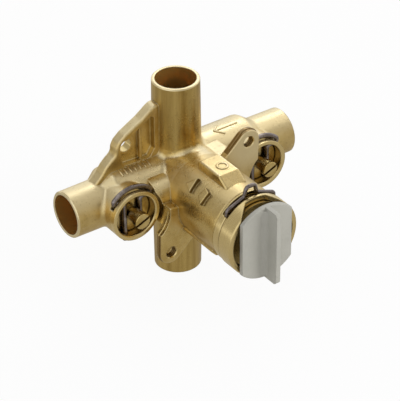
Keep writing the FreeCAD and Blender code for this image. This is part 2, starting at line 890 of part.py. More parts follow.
def stop_bonnet(x):
    at = (x, 0, 0)
    head = rod("y", stop_bore_r - bonnet_gap, bonnet_front, stop_step_y - bonnet_step_gap, at)
    head = blended(head, bonnet_edge, lies_at_y(bonnet_front))
    body = fuse([head, rod("y", stop_chamber_r - bonnet_gap, stop_step_y - over, bonnet_back, at)])
    groove_floor = stop_bore_r - 2 * (stop_ring_wire_r + ring_gap)
    half = stop_ring_wire_r + stop_ring_side_play
    seal_half = stem_seal_wire_r + stem_seal_side_play
    seal_r = shank_r + 2 * (ring_gap + stem_seal_wire_r) + seal_play
    return cut(body, [
        tube("y", stop_bore_r + over, groove_floor, stop_ring_y - half, stop_ring_y + half, at),
        rod("y", shank_r + shank_play, bonnet_front - over, bonnet_back, at),
        rod("y", seal_r, stem_seal_y - seal_half, stem_seal_y + seal_half, at),
        hex_bar(hex_flat_half, bonnet_front + bonnet_wall, bonnet_back + over, x),
    ])


def stop_spindle(x):
    """Slotted spindle: head, shank, neck for the clip, flange and screw thread."""
    at = (x, 0, 0)
    head_back = spindle_front + spindle_head_len
    neck_front = stop_clip_y - stop_wire_r - spindle_neck_play
    neck_back = stop_clip_y + stop_wire_r + stop_wire_gap + near
    head = rod("y", spindle_head_r, spindle_front, head_back, at)
    head = blended(head, spindle_head_edge, lies_at_y(spindle_front))
    wide = spindle_head_r + over
    half = driver_slot_w / 2
    slot = box(x - wide, x + wide, spindle_front - over, spindle_front + driver_slot_depth, -half, half)
    slot.rotate(V(x, 0, 0), AXES["y"], -driver_slot_deg)
    return fuse([
        head.cut(slot),
        rod("y", shank_r, head_back, neck_front, at),
        rod("y", spindle_neck_r, neck_front, neck_back, at),
        rod("y", shank_r, neck_back, flange_front, at),
        rod("y", hex_flat_half - flange_inset, flange_front, flange_back, at),
        rod("y", thread_r, flange_back, thread_end, at),
    ])


def stop_piston(x):
    at = (x, 0, 0)
    piston = fuse([
        hex_bar(hex_flat_half - hex_play, piston_front, piston_disc_front, x),
        rod("y", washer_r + piston_disc_rim, piston_disc_front, piston_disc_back, at),
        rod("y", washer_boss_r, piston_disc_back, washer_back - washer_boss_short, at),
    ])
    return piston.cut(rod("y", thread_r + thread_play, piston_front - over, piston_hole_end, at))


def stop_washer(x):
    return tube("y", washer_r, washer_boss_r + washer_play, piston_disc_back, washer_back, (x, 0, 0))


def stop_bonnet_ring(x):
    return ring(stop_bore_r - ring_gap - stop_ring_wire_r, stop_ring_wire_r, x, stop_ring_y)


def stop_stem_seal(x):
    return ring(shank_r + ring_gap + stem_seal_wire_r, stem_seal_wire_r, x, stem_seal_y)


def stop_clip(x):
    """Wire clip: two legs beside the spindle, turned outwards and back over the boss."""
    half = math.radians(stop_arc_half_deg)
    end = (-stop_arc_r * math.sin(half), stop_arc_r * math.cos(half))
    tail = (end[0] - stop_tail * math.cos(half), end[1] - stop_tail * math.sin(half))
    left = [(-stop_leg_x, stop_foot_z, 0), (-stop_leg_x, stop_leg_top_z, stop_leg_bend)]
    left += [(tail[0], tail[1], stop_tail_bend)]
    right = [(-a, z, bend) for a, z, bend in reversed(left)]
    corners = left + [(0, stop_arc_r / math.cos(half), stop_arc_r)] + right
    return bent_wire([(x + a, z, bend) for a, z, bend in corners], stop_wire_r, stop_clip_y)


def main():
    os.makedirs("parts", exist_ok=True)
    pieces = {
        "valve_body": valve_body(),
        "cartridge_shell": cartridge_shell(),
        "cartridge_end_plug": cartridge_end_plug(),
        "cartridge_stem": cartridge_stem(),
        "balance_cage": balance_cage(),
        "balance_spool": balance_spool(),
        "stem_o_ring": stem_o_ring(),
        "shell_front_o_ring": shell_ring(front_ring_y),
        "shell_rear_o_ring": shell_ring(rear_ring_y),
        "cartridge_clip": cartridge_clip(),
        "test_cap": test_cap(),
        "stop_clips": Part.makeCompound([stop_clip(-stop_x), stop_clip(stop_x)]),
    }
    for name, side in (("hot", HOT), ("cold", COLD)):
        x = side * stop_x
        pieces[name + "_port_seal"] = port_seal(side)
        pieces[name + "_stop_bonnet"] = stop_bonnet(x)
        pieces[name + "_stop_spindle"] = stop_spindle(x)
        pieces[name + "_stop_piston"] = stop_piston(x)
        pieces[name + "_stop_washer"] = stop_washer(x)
        pieces[name + "_stop_bonnet_ring"] = stop_bonnet_ring(x)
        pieces[name + "_stop_stem_seal"] = stop_stem_seal(x)
    for name, shape in pieces.items():
        shape.exportStep("parts/" + name + ".step")
        print(name, len(shape.Solids), shape.isValid(), round(shape.Volume, 1))


main()
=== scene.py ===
import json
import math

import bmesh
import bpy
from mathutils import Matrix, Vector


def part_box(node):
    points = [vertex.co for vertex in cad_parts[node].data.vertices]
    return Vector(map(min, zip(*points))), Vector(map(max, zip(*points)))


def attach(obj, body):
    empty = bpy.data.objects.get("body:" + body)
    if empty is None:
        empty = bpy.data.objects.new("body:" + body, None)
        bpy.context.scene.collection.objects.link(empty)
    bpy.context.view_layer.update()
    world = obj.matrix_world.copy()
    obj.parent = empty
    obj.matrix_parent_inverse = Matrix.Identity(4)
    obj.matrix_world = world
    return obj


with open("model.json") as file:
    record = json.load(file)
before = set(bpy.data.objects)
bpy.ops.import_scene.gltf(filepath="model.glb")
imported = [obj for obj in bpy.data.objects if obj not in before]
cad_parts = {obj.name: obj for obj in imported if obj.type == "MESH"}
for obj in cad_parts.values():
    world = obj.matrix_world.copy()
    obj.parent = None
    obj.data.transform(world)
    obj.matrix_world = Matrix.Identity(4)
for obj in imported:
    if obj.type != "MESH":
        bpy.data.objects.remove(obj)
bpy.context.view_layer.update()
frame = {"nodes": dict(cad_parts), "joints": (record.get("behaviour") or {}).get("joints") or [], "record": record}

MM = 0.001

# The photograph's camera: its turn, height and roll in degrees, its distance and shifts in metres
PHOTO_LONG_SIDE = 401
FOCAL_PIXELS = 2138.54
SENSOR_WIDTH = 36.0
VIEW_TURN, VIEW_HEIGHT, VIEW_ROLL = -35.345, 34.484, -0.345
VIEW_DISTANCE, VIEW_RIGHT, VIEW_UP = 0.82502, 0.008949, -0.01141

# Sizes of the casting, from the frame
mounts = {mount["name"]: mount for mount in frame["record"]["mounts"]}
joints = {joint["name"]: joint for joint in frame["joints"]}
body_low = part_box("valve_body")[0]
bonnet_low, bonnet_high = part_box("cold_stop_bonnet")
cup = mounts["cold_inlet_cup"]
CUP_R = cup["dims"]["r_mm"] * MM
CUP_DEPTH = cup["dims"]["length_mm"] * MM
INLET_REACH = cup["pos_m"][0]
OUTLET_REACH = mounts["shower_outlet_cup"]["pos_m"][2]
STOP_X = joints["cold_stop_turn"]["pos_m"][0]
STOP_FACE_Y = bonnet_low.y
STOP_HEAD_R = bonnet_high.x - STOP_X
MOUTH_Y = body_low.y
EAR_HOLE_FAR = mounts["trim_screws"]["dims"]["pcd_mm"] * MM / 2
EAR_HOLE_R = mounts["trim_screws"]["dims"]["hole_r_mm"] * MM
EAR_HOLE_Y = mounts["trim_screws"]["pos_m"][1]
WEB_HOLE_FAR = mounts["web_screws"]["dims"]["pcd_mm"] * MM / 2
WEB_HOLE_R = mounts["web_screws"]["dims"]["hole_r_mm"] * MM

# The hubs and the tubes, which grow thicker towards their roots
TUBE_WALL = 1.305 * MM
TUBE_DRAFT = 0.48 * MM
TUBE_ROOT_R = CUP_R + TUBE_WALL + TUBE_DRAFT
RIM = 0.45 * MM
HUB_R = 12.6 * MM
HUB_BLEND = 1.8 * MM
HUB_TAPER_X = 36.2 * MM

# The barrel, its collar and the pad on top of it
BARREL_R = 14.8 * MM
BARREL_MOUTH_R = 13.6 * MM
BARREL_BORE_END = 11.0 * MM
PAD_RISE = 2.9 * MM
COLLAR_BACK_Y = MOUTH_Y + 7.3 * MM
BAND_BACK_Y = MOUTH_Y + 11.2 * MM
STEP_LINE = 0.3 * MM

# The raised triangle and diamond: their turn round the barrel, their middle and half size
MARK_TURN = math.radians(46)
MARK_X, MARK_HALF_X = 0.7 * MM, 4.3 * MM
MARK_Y, MARK_HALF_Y = -28.6 * MM, 6.9 * MM

# The bosses of the check stops, and the turned relief round each
BOSS_R = STOP_HEAD_R + 1.78 * MM
BOSS_RIM = 0.6 * MM
STOP_WALL = 1.73 * MM
STOP_MOUTH_GAP = 3.6 * MM
STOP_BORE_END = 6.0 * MM
RELIEF_GAP = 1.2 * MM
RELIEF_BACK = -8.0 * MM

# The ears and the webs
EAR_THICK = 3.3 * MM
EAR_FACE_R = 15.0 * MM
EAR_FLANK_R = 10.0 * MM
EAR_ROOT = 2.2 * MM
EAR_HOLE_TURN = math.radians(45)
WEB_HOLE_X, WEB_HOLE_Z = -24.1 * MM, 21.4 * MM
WEB_HOLE_TURN = math.atan2(WEB_HOLE_Z, WEB_HOLE_X)

# The floor lies just under the end of the lower outlet
FLOOR_Z = body_low.z - 0.05 * MM

# Colours, linear
BRASS = (0.67, 0.50, 0.195, 1)
BRASS_DEEP = (0.53, 0.37, 0.115, 1)
BRASS_PALE = (0.84, 0.73, 0.47, 1)
BRASS_BROWN = (0.24, 0.145, 0.045, 1)
# Darker streaked tone of the outlet tubes, a painted dark reflection
OUTLET_REFLECTION_DARK = (0.40, 0.27, 0.08, 1)
OUTLET_REFLECTION_LIGHT = (0.58, 0.42, 0.145, 1)
CUP_BROWN = (0.62, 0.35, 0.08, 1)
# Painted shade, for corners, the barrel's steps and mouth and the sides of raised marks
PAINTED_SHADE = (0.12, 0.08, 0.03, 1)
TURNED = (0.75, 0.59, 0.27, 1)
WIRE = (0.215, 0.185, 0.180, 1)
# Paler wire where rubbed, and on its edges partly as wear and partly as a painted highlight
WIRE_WORN_AND_LIT = (0.50, 0.45, 0.42, 1)
CAP_GREY = (0.41, 0.40, 0.35, 1)
CAP_PALE = (0.53, 0.52, 0.46, 1)
PLASTIC_WHITE = (0.70, 0.69, 0.65, 1)
PLASTIC_CREAM = (0.60, 0.57, 0.50, 1)
RUBBER = (0.022, 0.022, 0.024, 1)
# Paler rubber where dusty, and on its edges partly as wear and partly as a painted highlight
RUBBER_DUSTY_AND_LIT = (0.07, 0.07, 0.072, 1)
FLOOR_PAINT = (0.86, 0.86, 0.86, 1)


# Short calls for building node trees

def node_of(tree, kind, **settings):
    node = tree.nodes.new(kind)
    for name, value in settings.items():
        setattr(node, name, value)
    return node


def feed(tree, socket, value):
    """Link an output to a socket, or set the socket to a plain value."""
    if isinstance(value, bpy.types.NodeSocket):
        tree.links.new(value, socket)
    else:
        socket.default_value = value


def feed_in_order(tree, node, values):
    for socket, value in zip(node.inputs, values):
        feed(tree, socket, value)
    return node


def calc(tree, operation, *values):
    return feed_in_order(tree, node_of(tree, "ShaderNodeMath", operation=operation), values).outputs[0]


def times(tree, first, *others):
    """All the values multiplied together."""
    for other in others:
        first = calc(tree, "MULTIPLY", first, other)
    return first


def free_of(tree, mask):
    """One where a mask is nought, and nought where it is one."""
    return calc(tree, "SUBTRACT", 1.0, mask)


def largest(tree, values):
    top = values[0]
    for value in values[1:]:
        top = calc(tree, "MAXIMUM", top, value)
    return top


def stretch(tree, value, low, high, to_low=0.0, to_high=1.0):
    """A value from low..high carried smoothly to to_low..to_high."""
    node = node_of(tree, "ShaderNodeMapRange", interpolation_type="SMOOTHSTEP")
    return feed_in_order(tree, node, (value, low, high, to_low, to_high)).outputs[0]


def vector_of(tree, x, y, z):
    return feed_in_order(tree, node_of(tree, "ShaderNodeCombineXYZ"), (x, y, z)).outputs[0]


def parts_of(tree, vector):
    return feed_in_order(tree, node_of(tree, "ShaderNodeSeparateXYZ"), (vector,)).outputs


def blend_values(tree, share, first, second):
    node = node_of(tree, "ShaderNodeMix", data_type="FLOAT")
    feed(tree, node.inputs[0], share)
    feed(tree, node.inputs[2], first)
    feed(tree, node.inputs[3], second)
    return node.outputs[0]


def blend_colours(tree, share, first, second):
    node = node_of(tree, "ShaderNodeMix", data_type="RGBA")
    feed(tree, node.inputs[0], share)
    feed(tree, node.inputs[6], first)
    feed(tree, node.inputs[7], second)
    return node.outputs[2]


def layered(tree, tone, layers):
    """A tone under layers of (mask, share, colour), each laid over those before it."""
    for mask, share, colour in layers:
        tone = blend_colours(tree, times(tree, mask, share), tone, colour)
    return tone


def noise(tree, place, scale, detail=3.0, rough=0.55):
    node = node_of(tree, "ShaderNodeTexNoise")
    feed(tree, node.inputs["Vector"], place)
    feed(tree, node.inputs["Scale"], scale)
    node.inputs["Detail"].default_value = detail
    node.inputs["Roughness"].default_value = rough
    return node.outputs[0]


def new_group(name, kind, inputs, outputs):
    """An empty node group with named inputs and outputs; returns it with its two end nodes."""
    tree = bpy.data.node_groups.new(name, kind)
    for title, socket_kind, value in inputs:
        socket = tree.interface.new_socket(title, in_out="INPUT", socket_type=socket_kind)
        if value is not None:
            socket.default_value = value
    for title, socket_kind in outputs:
        tree.interface.new_socket(title, in_out="OUTPUT", socket_type=socket_kind)
    return tree, tree.nodes.new("NodeGroupInput").outputs, tree.nodes.new("NodeGroupOutput").inputs


def use(tree, group, **values):
    """Place a shader group in a tree and feed its inputs by name; returns its outputs."""
    node = node_of(tree, "ShaderNodeGroup", node_tree=group)
    for name, value in values.items():
        feed(tree, node.inputs[name], value)
    return node.outputs


# Effects that several finishes share

FLOAT, VECTOR = "NodeSocketFloat", "NodeSocketVector"


def make_round_region():
    """Mask of a round bar along the third axis of Place, with the distance from it and along it."""
    tree, given, out = new_group("round_region", "ShaderNodeTree", [
        ("Place", VECTOR, None), ("Radius", FLOAT, 0.01), ("From", FLOAT, 0.0), ("To", FLOAT, 1.0),
        ("Edge", FLOAT, 0.00006)], [("Mask", FLOAT), ("Distance", FLOAT), ("Along", FLOAT)])
    x, y, along = parts_of(tree, given["Place"])
    squares = calc(tree, "ADD", calc(tree, "POWER", x, 2.0), calc(tree, "POWER", y, 2.0))
    across = calc(tree, "SQRT", squares)
    inside = calc(tree, "SUBTRACT", given["Radius"], across)
    past = calc(tree, "SUBTRACT", along, given["From"])
    short = calc(tree, "SUBTRACT", given["To"], along)
    nearest = calc(tree, "MINIMUM", inside, calc(tree, "MINIMUM", past, short))
    feed(tree, out["Mask"], stretch(tree, nearest, 0.0, given["Edge"]))
    feed(tree, out["Distance"], across)
    feed(tree, out["Along"], along)
    return tree


def make_cast_skin():
    """Sand cast skin: fine grain, shallow pits and a slow drift in tone."""
    tree, given, out = new_group("cast_skin", "ShaderNodeTree", [
        ("Place", VECTOR, None), ("Grain", FLOAT, 2600.0), ("Drift", FLOAT, 140.0)],
        [("Height", FLOAT), ("Pits", FLOAT), ("Tone", FLOAT)])
    grain = noise(tree, given["Place"], given["Grain"], 4.0, 0.62)
    lumps = noise(tree, given["Place"], times(tree, given["Grain"], 0.22), 2.0, 0.5)
    pits = node_of(tree, "ShaderNodeTexVoronoi", feature="SMOOTH_F1")
    feed(tree, pits.inputs["Vector"], given["Place"])
    feed(tree, pits.inputs["Scale"], times(tree, given["Grain"], 0.3))
    holes = stretch(tree, pits.outputs["Distance"], 0.30, 0.08)
    height = calc(tree, "ADD", times(tree, grain, 0.55), times(tree, lumps, 0.6))
    feed(tree, out["Height"], calc(tree, "SUBTRACT", height, times(tree, holes, 0.35)))
    feed(tree, out["Pits"], holes)
    tone = noise(tree, given["Place"], given["Drift"], 5.0, 0.6)
    feed(tree, out["Tone"], stretch(tree, tone, 0.3, 0.7))
    return tree


def make_turned_marks():
    """Fine rings that a lathe leaves, counted along the part and out from its axis."""
    tree, given, out = new_group("turned_marks", "ShaderNodeTree", [
        ("Distance", FLOAT, 0.0), ("Along", FLOAT, 0.0), ("Pitch", FLOAT, 0.00022)], [("Rings", FLOAT)])
    way = calc(tree, "ADD", given["Distance"], given["Along"])
    rings = node_of(tree, "ShaderNodeTexNoise", noise_dimensions="1D")
    feed(tree, rings.inputs["W"], calc(tree, "DIVIDE", way, given["Pitch"]))
    rings.inputs["Scale"].default_value = 1.0
    rings.inputs["Detail"].default_value = 3.0
    feed(tree, out["Rings"], rings.outputs[0])
    return tree


def make_worn_and_lit_edge():
    """A softened normal, and a broken mask of the edges, which are painted paler partly as wear and partly as a
    painted highlight where they catch the light.
    """
    tree, given, out = new_group("worn_edge", "ShaderNodeTree", [
        ("Place", VECTOR, None), ("Radius", FLOAT, 0.0004), ("Broken", FLOAT, 900.0)],
        [("Normal", VECTOR), ("Mask", FLOAT)])
    soft = node_of(tree, "ShaderNodeBevel", samples=6)
    feed(tree, soft.inputs["Radius"], given["Radius"])
    hard = node_of(tree, "ShaderNodeNewGeometry")
    alike = node_of(tree, "ShaderNodeVectorMath", operation="DOT_PRODUCT")
    feed_in_order(tree, alike, (soft.outputs[0], hard.outputs["Normal"]))
    edge = stretch(tree, alike.outputs["Value"], 0.995, 0.86)
    gaps = stretch(tree, noise(tree, given["Place"], given["Broken"]), 0.35, 0.62)
    feed(tree, out["Mask"], times(tree, edge, gaps))
    feed(tree, out["Normal"], soft.outputs[0])
    return tree


def make_handling():
    """Smudges and dull patches from handling, as a value about a half."""
    tree, given, out = new_group("handling", "ShaderNodeTree", [
        ("Place", VECTOR, None), ("Size", FLOAT, 70.0)], [("Smudge", FLOAT)])
    wide = noise(tree, given["Place"], given["Size"], 2.0, 0.5)
    fine = noise(tree, given["Place"], times(tree, given["Size"], 9.0), 4.0, 0.7)
    both = calc(tree, "ADD", times(tree, wide, 0.65), times(tree, fine, 0.35))
    feed(tree, out["Smudge"], stretch(tree, both, 0.32, 0.68))
    return tree


def make_painted_corner_shade():
    """Painted shade in corners and along the foot of raised marks, where little light reaches."""
    tree, given, out = new_group("crevice", "ShaderNodeTree", [
        ("Place", VECTOR, None), ("Reach", FLOAT, 0.002)], [("Grime", FLOAT)])
    open_sky = node_of(tree, "ShaderNodeAmbientOcclusion", samples=4)
    feed(tree, open_sky.inputs["Distance"], given["Reach"])
    shut = stretch(tree, open_sky.outputs["AO"], 0.86, 0.35)
    broken = stretch(tree, noise(tree, given["Place"], 420.0, 3.0, 0.6), 0.2, 0.7, 0.6, 1.0)
    feed(tree, out["Grime"], times(tree, shut, broken))
    return tree


def make_painted_top_light():
    """How far a face looks up, where the brass is painted paler as painted light from above."""
    tree, given, out = new_group("upward", "ShaderNodeTree", [("Normal", VECTOR, None)], [("Share", FLOAT)])
    rise = parts_of(tree, given["Normal"])[2]
    feed(tree, out["Share"], stretch(tree, rise, 0.25, 1.0, 0.0, 0.85))
    return tree


round_region = make_round_region()
cast_skin = make_cast_skin()
turned_marks = make_turned_marks()
worn_edge = make_worn_and_lit_edge()
handling = make_handling()
crevice = make_painted_corner_shade()
upward = make_painted_top_light()


# Finishes

def new_finish(name, metallic, **constants):
    """A material with its shader, plain constants on the shader's sockets, and the place on the part."""
    material = bpy.data.materials.new(name)
    material.use_nodes = True
    tree = material.node_tree
    shader = tree.nodes["Principled BSDF"]
    shader.inputs["Metallic"].default_value = metallic
    for title, value in constants.items():
        shader.inputs[title].default_value = value
    place = tree.nodes.new("ShaderNodeTexCoord").outputs["Object"]
    return material, tree, shader, place


def bump(tree, height, normal, depth, strength):
    node = node_of(tree, "ShaderNodeBump")
    node.inputs["Strength"].default_value = strength
    node.inputs["Distance"].default_value = depth
    feed(tree, node.inputs["Height"], height)
    feed(tree, node.inputs["Normal"], normal)
    return node.outputs[0]


def finish_with(tree, shader, colour, rough, normal):
    feed(tree, shader.inputs["Base Color"], colour)
    feed(tree, shader.inputs["Roughness"], rough)
    feed(tree, shader.inputs["Normal"], normal)


def casting_views(tree, place):
    """The place on the casting seen along each machined axis, with that axis third."""
    x, y, z = parts_of(tree, place)
    far_x, far_z = calc(tree, "ABSOLUTE", x), calc(tree, "ABSOLUTE", z)

    def pair_of_holes(turn, far):
        out = calc(tree, "ADD", times(tree, x, math.cos(turn)), times(tree, z, math.sin(turn)))
        side = calc(tree, "SUBTRACT", times(tree, z, math.cos(turn)), times(tree, x, math.sin(turn)))
        return vector_of(tree, calc(tree, "SUBTRACT", calc(tree, "ABSOLUTE", out), far), side, y)

    return {
        "inlets": vector_of(tree, y, z, far_x),
        "outlets": vector_of(tree, x, y, far_z),
        "barrel": vector_of(tree, x, z, y),
        "stops": vector_of(tree, calc(tree, "SUBTRACT", far_x, STOP_X), z, y),
        "ears": pair_of_holes(EAR_HOLE_TURN, EAR_HOLE_FAR),
        "webs": pair_of_holes(WEB_HOLE_TURN, WEB_HOLE_FAR),
        "height": z,
    }


def casting_masks(tree, views):
    """Masks of the casting's machined places and of its painted light and shade by name, and the lathe marks on
    them.
    """
    slack = 0.1 * MM
    wide = 1.0

    def region(view, radius, low, high):
        return use(tree, round_region, Place=views[view], Radius=radius, From=low, To=high)

    def lathe_marks(piece, pitch):
        marks = use(tree, turned_marks, Distance=piece["Distance"], Along=piece["Along"], Pitch=pitch)
        return times(tree, marks["Rings"], piece["Mask"])

    # Solder cups, tube ends and screw holes
    bores = [
        region("inlets", CUP_R + slack, HUB_TAPER_X, wide),
        region("outlets", CUP_R + slack, OUTLET_REACH - CUP_DEPTH - 4 * slack, wide),
    ]
    inlet_ends = region("inlets", wide, INLET_REACH - RIM, wide)
    outlet_ends = region("outlets", wide, OUTLET_REACH - RIM, wide)
    holes = [
        region("ears", EAR_HOLE_R + RIM, EAR_HOLE_Y - EAR_THICK, EAR_HOLE_Y + EAR_THICK),
        region("webs", WEB_HOLE_R + slack, -wide, wide),
    ]
    ends = largest(tree, [inlet_ends["Mask"], outlet_ends["Mask"]])
    cups = times(tree, largest(tree, [bore["Mask"] for bore in bores]), free_of(tree, ends))
    outlet_r = TUBE_ROOT_R + TUBE_DRAFT + slack
    outlet = region("outlets", outlet_r, BARREL_R + RIM, OUTLET_REACH - RIM)

    # Barrel: its collar and front, painted shade inside its mouth, and painted shade lines at the steps behind its
    # collar and its band
    collar = region("barrel", wide, -wide, BAND_BACK_Y)
    shade_in_barrel = region("barrel", BARREL_MOUTH_R + slack, MOUTH_Y + 4 * slack, BARREL_BORE_END)
    barrel_front = region("barrel", BARREL_R + PAD_RISE + 4 * slack, -wide, -BARREL_R)
    steps = largest(tree, [region("barrel", wide, y - STEP_LINE, y + STEP_LINE)["Mask"]
                           for y in (COLLAR_BACK_Y, BAND_BACK_Y)])
    steps = times(tree, steps, calc(tree, "GREATER_THAN", collar["Distance"], BARREL_R))

    # Check stop bosses, without the hub behind them
    stops = region("stops", BOSS_R + RELIEF_GAP, -wide, RELIEF_BACK + slack)
    hub = region("inlets", HUB_R + HUB_BLEND - slack, -wide, wide)
    boss = times(tree, stops["Mask"], free_of(tree, hub["Mask"]))
    stop_bore = region("stops", BOSS_R - BOSS_RIM, -wide, STOP_BORE_END)
    # Painted shade inside each stop's mouth
    shade_in_stop = region("stops", BOSS_R - STOP_WALL + slack, STOP_FACE_Y - STOP_MOUTH_GAP, STOP_BORE_END)

    # Front face of the upper ear, fading outwards, painted pale as a painted highlight, and the flanks of both
    # ears, painted dark as painted shade
    ear_face = region("ears", EAR_FACE_R, -wide, EAR_HOLE_Y - EAR_THICK / 2 + 2 * slack)
    ear_fade = stretch(tree, ear_face["Distance"], EAR_FACE_R, EAR_FACE_R / 3)
    upper = calc(tree, "GREATER_THAN", views["height"], 0.0)
    flank_half = EAR_THICK / 2 - 3 * slack
    flank = region("ears", EAR_FLANK_R, EAR_HOLE_Y - flank_half, EAR_HOLE_Y + flank_half)

    machined = bores + [inlet_ends, outlet_ends] + holes + [collar, stop_bore]
    marked = ((collar, 0.30 * MM), (stops, 0.26 * MM), (inlet_ends, 0.24 * MM), (outlet_ends, 0.24 * MM))
    return {
        "turned": largest(tree, [piece["Mask"] for piece in machined] + [boss]),
        "rings": largest(tree, [lathe_marks(piece, pitch) for piece, pitch in marked]),
        "cups": cups,
        "ends": ends,
        "outlet": outlet["Mask"],
        "in barrel": shade_in_barrel["Mask"],
        "barrel front": barrel_front["Mask"],
        "steps": steps,
        "in stop": shade_in_stop["Mask"],
        "ear face": times(tree, ear_face["Mask"], upper, ear_fade),
        "ear flank": flank["Mask"],
    }


def shaded_mark_sides(tree, place, normal):
    """The upright sides of the raised triangle and diamond, painted dark as painted shade."""
    def seen_square_on(value):
        node = node_of(tree, "ShaderNodeVectorRotate", rotation_type="Y_AXIS")
        feed(tree, node.inputs["Vector"], value)
        node.inputs["Angle"].default_value = MARK_TURN
        return parts_of(tree, node.outputs[0])

    def within(value, middle, half):
        return calc(tree, "LESS_THAN", calc(tree, "ABSOLUTE", calc(tree, "SUBTRACT", value, middle)), half)

    x, y, z = seen_square_on(place)
    outside = calc(tree, "GREATER_THAN", z, 0.9 * BARREL_R)
    steep = stretch(tree, seen_square_on(normal)[2], 0.9, 0.5)
    return times(tree, within(x, MARK_X, MARK_HALF_X), within(y, MARK_Y, MARK_HALF_Y), outside, steep)


def painted_outlet_reflection(tree, place):
    """Long soft streaks up the outlet tubes, for a painted dark reflection blurred along them."""
    drawn = node_of(tree, "ShaderNodeMapping")
    drawn.inputs["Scale"].default_value = (1.0, 1.0, 0.05)
    feed(tree, drawn.inputs["Vector"], place)
    return stretch(tree, noise(tree, drawn.outputs[0], 420.0, 3.0, 0.6), 0.3, 0.7)


def cast_brass():
    """The casting: satin sand cast skin, with turned mouths, bosses, bores and rims."""
    material, tree, shader, place = new_finish("cast_brass", 1.0)
    marks = casting_masks(tree, casting_views(tree, place))
    skin = use(tree, cast_skin, Place=place)
    edge = use(tree, worn_edge, Place=place, Radius=0.55 * MM)
    smudge = use(tree, handling, Place=place, Size=55.0)["Smudge"]
    shaded_corner = use(tree, crevice, Place=place, Reach=1.5 * MM)["Grime"]

    # Colours and masks of the layers
    skin_tone = blend_colours(tree, skin["Tone"], BRASS, BRASS_DEEP)
    # The outlet tubes' darker, streaked tone is a painted dark reflection
    drawn = blend_colours(tree, painted_outlet_reflection(tree, place), OUTLET_REFLECTION_DARK, OUTLET_REFLECTION_LIGHT)
    bright = blend_colours(tree, times(tree, marks["rings"], 0.3), TURNED, BRASS_PALE)
    # Painted light on faces that look up, held back on the barrel's front
    held_back = stretch(tree, marks["barrel front"], 0.0, 1.0, 1.0, 0.4)
    lit_top = times(tree, use(tree, upward, Normal=edge["Normal"])["Share"], held_back)
    # Painted shade in corners, at the barrel's steps, inside its mouth and on the sides of the raised marks
    shaded_places = [(shaded_corner, 0.75), (marks["steps"], 0.8), (marks["in barrel"], 0.85),
                   (shaded_mark_sides(tree, place, edge["Normal"]), 0.95)]
    shade_mask = largest(tree, [times(tree, mask, share) for mask, share in shaded_places])
    tone = layered(tree, skin_tone, [
        (stretch(tree, smudge, 0.0, 1.0), 0.2, BRASS_PALE),
        (marks["outlet"], 0.9, drawn),
        (lit_top, 1.0, BRASS_PALE),
        (skin["Pits"], 0.18, BRASS_BROWN),
        # Edges paled partly as wear and partly as a painted highlight
        (edge["Mask"], 0.5, BRASS_PALE),
        (marks["turned"], 0.8, bright),
        # Painted highlight on the upper ear's face
        (marks["ear face"], 0.8, BRASS_PALE),
        (marks["ends"], 0.8, BRASS_PALE),
        # Painted shade on the ears' flanks
        (marks["ear flank"], 0.85, BRASS_BROWN),
        (marks["cups"], 0.95, CUP_BROWN),
        # Painted shade inside the stops
        (marks["in stop"], 0.3, BRASS_BROWN),
        (shade_mask, 1.0, PAINTED_SHADE),
    ])

    # Gloss, and less metal in the cups, which are painted a darker brown
    rough_cast = stretch(tree, smudge, 0.0, 1.0, 0.25, 0.39)
    rough_turned = stretch(tree, marks["rings"], 0.2, 0.8, 0.20, 0.30)
    rough = blend_values(tree, marks["turned"], rough_cast, rough_turned)
    rough = blend_values(tree, marks["ear face"], rough, 0.52)
    feed(tree, shader.inputs["Metallic"], stretch(tree, marks["cups"], 0.0, 1.0, 1.0, 0.7))

    # Grain on the cast skin only, lathe marks where it was turned
    grain = times(tree, skin["Height"], free_of(tree, marks["turned"]))
    height = calc(tree, "ADD", grain, times(tree, marks["rings"], 0.04))
    finish_with(tree, shader, tone, rough, bump(tree, height, edge["Normal"], 0.09 * MM, 0.8))
    return material


def turned_brass():
    """Machined brass of the cartridge and the stops, turned about an axis along Y."""
    material, tree, shader, place = new_finish("turned_brass", 1.0)
    x, y, z = parts_of(tree, place)

    # Past half way out, the axis is a stop's own and not the barrel's
    off = calc(tree, "ABSOLUTE", x)
    beyond = calc(tree, "GREATER_THAN", off, STOP_X / 2)
    off = calc(tree, "SUBTRACT", off, times(tree, beyond, STOP_X))
    around = use(tree, round_region, Place=vector_of(tree, off, z, y), Radius=1.0, From=-1.0, To=1.0)
    rings = use(tree, turned_marks, Distance=around["Distance"], Along=around["Along"], Pitch=0.2 * MM)
    edge = use(tree, worn_edge, Place=place, Radius=0.2 * MM, Broken=1500.0)
    smudge = use(tree, handling, Place=place, Size=160.0)["Smudge"]
    shaded_corner = use(tree, crevice, Place=place, Reach=3.0 * MM)["Grime"]
    tone = layered(tree, blend_colours(tree, smudge, TURNED, BRASS_DEEP), [
        # Edges paled partly as wear and partly as a painted highlight
        (edge["Mask"], 0.7, BRASS_PALE),
        # Painted shade in the corners of the turned parts
        (shaded_corner, 0.8, PAINTED_SHADE),
    ])
    rough = stretch(tree, rings["Rings"], 0.2, 0.8, 0.16, 0.32)
    finish_with(tree, shader, tone, rough, bump(tree, rings["Rings"], edge["Normal"], 0.02 * MM, 0.7))
    return material


